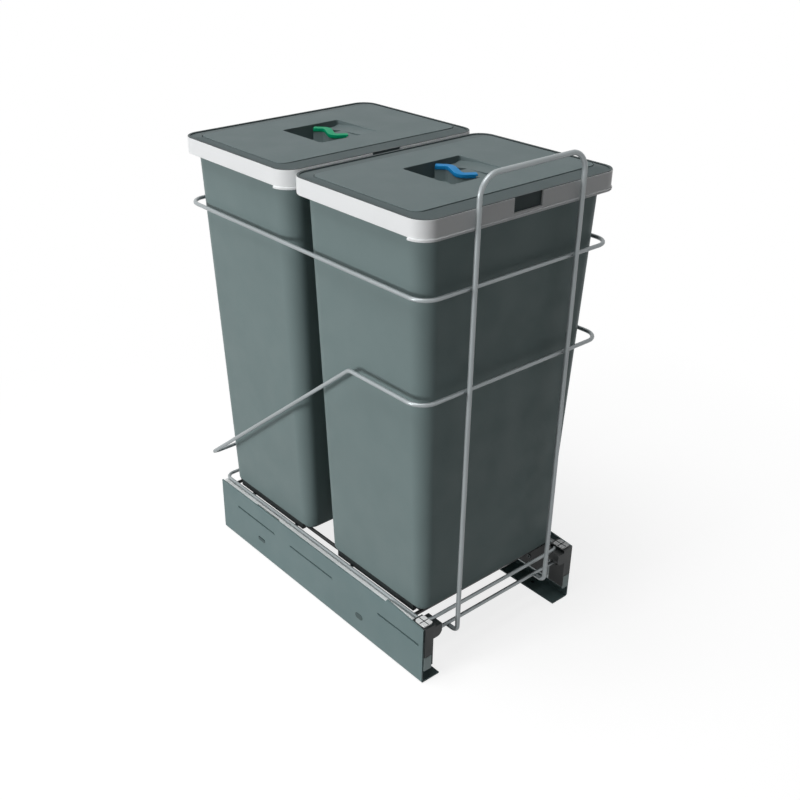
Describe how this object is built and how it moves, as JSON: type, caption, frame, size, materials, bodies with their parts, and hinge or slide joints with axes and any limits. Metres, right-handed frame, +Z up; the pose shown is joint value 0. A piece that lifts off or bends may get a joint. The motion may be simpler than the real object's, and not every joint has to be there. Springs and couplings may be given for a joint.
{
  "type": "pull-out waste bin unit",
  "caption": "Steel wire frame on full-extension slides that pulls tall lidded waste bins, one behind another, out of a kitchen base cabinet.",
  "frame": {"origin": "on the cabinet floor under the bracket flanges, midway between the two brackets and midway along them", "axes": "+Z is up, -Y is the way the unit pulls out of the cabinet, +X is to the right of someone who stands in front of it"},
  "size_m": [0.3082, 0.4736, 0.6415],
  "materials": {
    "bracket_paint": "fine dark grey powder coat",
    "rail_zinc": "zinc plated, rolled along its length",
    "cage_steel": "pressed sheet",
    "ball_steel": "polished, lightly greased",
    "buffer_rubber": "moulded",
    "sheet_zinc": "zinc plated",
    "screw_zinc": "zinc plated",
    "coupling_plastic": "fine moulded grain",
    "wire_zinc": "drawn wire, zinc plated",
    "grid_coating": "dipped plastic coating",
    "bin_plastic": "fine moulded grain",
    "ring_plastic": "satin",
    "lid_plastic": "fine moulded grain",
    "marker_blue": "satin",
    "marker_green": "satin"
  },
  "bodies": {
    "brackets": {"left_bracket": "bracket_paint", "left_outer_rail": "rail_zinc", "left_buffer": "buffer_rubber", "right_bracket": "bracket_paint", "right_outer_rail": "rail_zinc", "right_buffer": "buffer_rubber"},
    "carriage": {"left_inner_rail": "rail_zinc", "left_carrier": "sheet_zinc", "left_carrier_screws": "screw_zinc", "left_front_coupling": "coupling_plastic", "left_end_plate": "sheet_zinc", "left_coupling_clip": "sheet_zinc", "right_inner_rail": "rail_zinc", "right_carrier": "sheet_zinc", "right_carrier_screws": "screw_zinc", "right_front_coupling": "coupling_plastic", "right_end_plate": "sheet_zinc", "right_coupling_clip": "sheet_zinc", "base_ring": "wire_zinc", "lower_front_wire": "wire_zinc", "front_loop": "wire_zinc", "upper_ring": "wire_zinc", "guard_ring": "wire_zinc", "rear_stay": "wire_zinc", "bin_grid": "grid_coating"},
    "left_middle": {"left_middle_rail": "rail_zinc"},
    "left_outer_cage": {"left_outer_ball_cage": "cage_steel", "left_outer_balls": "ball_steel"},
    "left_inner_cage": {"left_inner_ball_cage": "cage_steel", "left_inner_balls": "ball_steel"},
    "right_middle": {"right_middle_rail": "rail_zinc"},
    "right_outer_cage": {"right_outer_ball_cage": "cage_steel", "right_outer_balls": "ball_steel"},
    "right_inner_cage": {"right_inner_ball_cage": "cage_steel", "right_inner_balls": "ball_steel"},
    "front_tub": {"front_bin": "bin_plastic"},
    "front_ring": {"front_bag_ring": "ring_plastic"},
    "front_cover": {"front_lid": "lid_plastic", "front_lid_marker": "marker_blue"},
    "rear_tub": {"rear_bin": "bin_plastic"},
    "rear_ring": {"rear_bag_ring": "ring_plastic"},
    "rear_cover": {"rear_lid": "lid_plastic", "rear_lid_marker": "marker_green"}
  },
  "joints": [
    {"name": "frame_slide", "type": "slide", "parent": "brackets", "child": "carriage", "axis": [0, -1, 0], "range_m": [0, 0.44]},
    {"name": "left_middle_slide", "type": "slide", "parent": "brackets", "child": "left_middle", "axis": [0, -1, 0], "range_m": [0, 0.22]},
    {"name": "left_outer_cage_roll", "type": "slide", "parent": "brackets", "child": "left_outer_cage", "axis": [0, -1, 0], "range_m": [0, 0.11]},
    {"name": "left_inner_cage_roll", "type": "slide", "parent": "left_middle", "child": "left_inner_cage", "axis": [0, -1, 0], "range_m": [0, 0.11]},
    {"name": "right_middle_slide", "type": "slide", "parent": "brackets", "child": "right_middle", "axis": [0, -1, 0], "range_m": [0, 0.22]},
    {"name": "right_outer_cage_roll", "type": "slide", "parent": "brackets", "child": "right_outer_cage", "axis": [0, -1, 0], "range_m": [0, 0.11]},
    {"name": "right_inner_cage_roll", "type": "slide", "parent": "right_middle", "child": "right_inner_cage", "axis": [0, -1, 0], "range_m": [0, 0.11]},
    {"name": "front_bin_lift", "type": "slide", "parent": "carriage", "child": "front_tub", "axis": [0, 0, 1], "range_m": [0, 0.57]},
    {"name": "front_bag_ring_lift", "type": "slide", "parent": "front_tub", "child": "front_ring", "axis": [0, 0, 1], "range_m": [0, 0.12]},
    {"name": "front_lid_lift", "type": "slide", "parent": "front_ring", "child": "front_cover", "axis": [0, 0, 1], "range_m": [0, 0.12]},
    {"name": "rear_bin_lift", "type": "slide", "parent": "carriage", "child": "rear_tub", "axis": [0, 0, 1], "range_m": [0, 0.57]},
    {"name": "rear_bag_ring_lift", "type": "slide", "parent": "rear_tub", "child": "rear_ring", "axis": [0, 0, 1], "range_m": [0, 0.12]},
    {"name": "rear_lid_lift", "type": "slide", "parent": "rear_ring", "child": "rear_cover", "axis": [0, 0, 1], "range_m": [0, 0.12]}
  ],
  "couplings": [
    {"joint": "left_middle_slide", "follows": "frame_slide", "ratio": 0.5},
    {"joint": "left_outer_cage_roll", "follows": "frame_slide", "ratio": 0.25},
    {"joint": "left_inner_cage_roll", "follows": "frame_slide", "ratio": 0.25},
    {"joint": "right_middle_slide", "follows": "frame_slide", "ratio": 0.5},
    {"joint": "right_outer_cage_roll", "follows": "frame_slide", "ratio": 0.25},
    {"joint": "right_inner_cage_roll", "follows": "frame_slide", "ratio": 0.25}
  ]
}
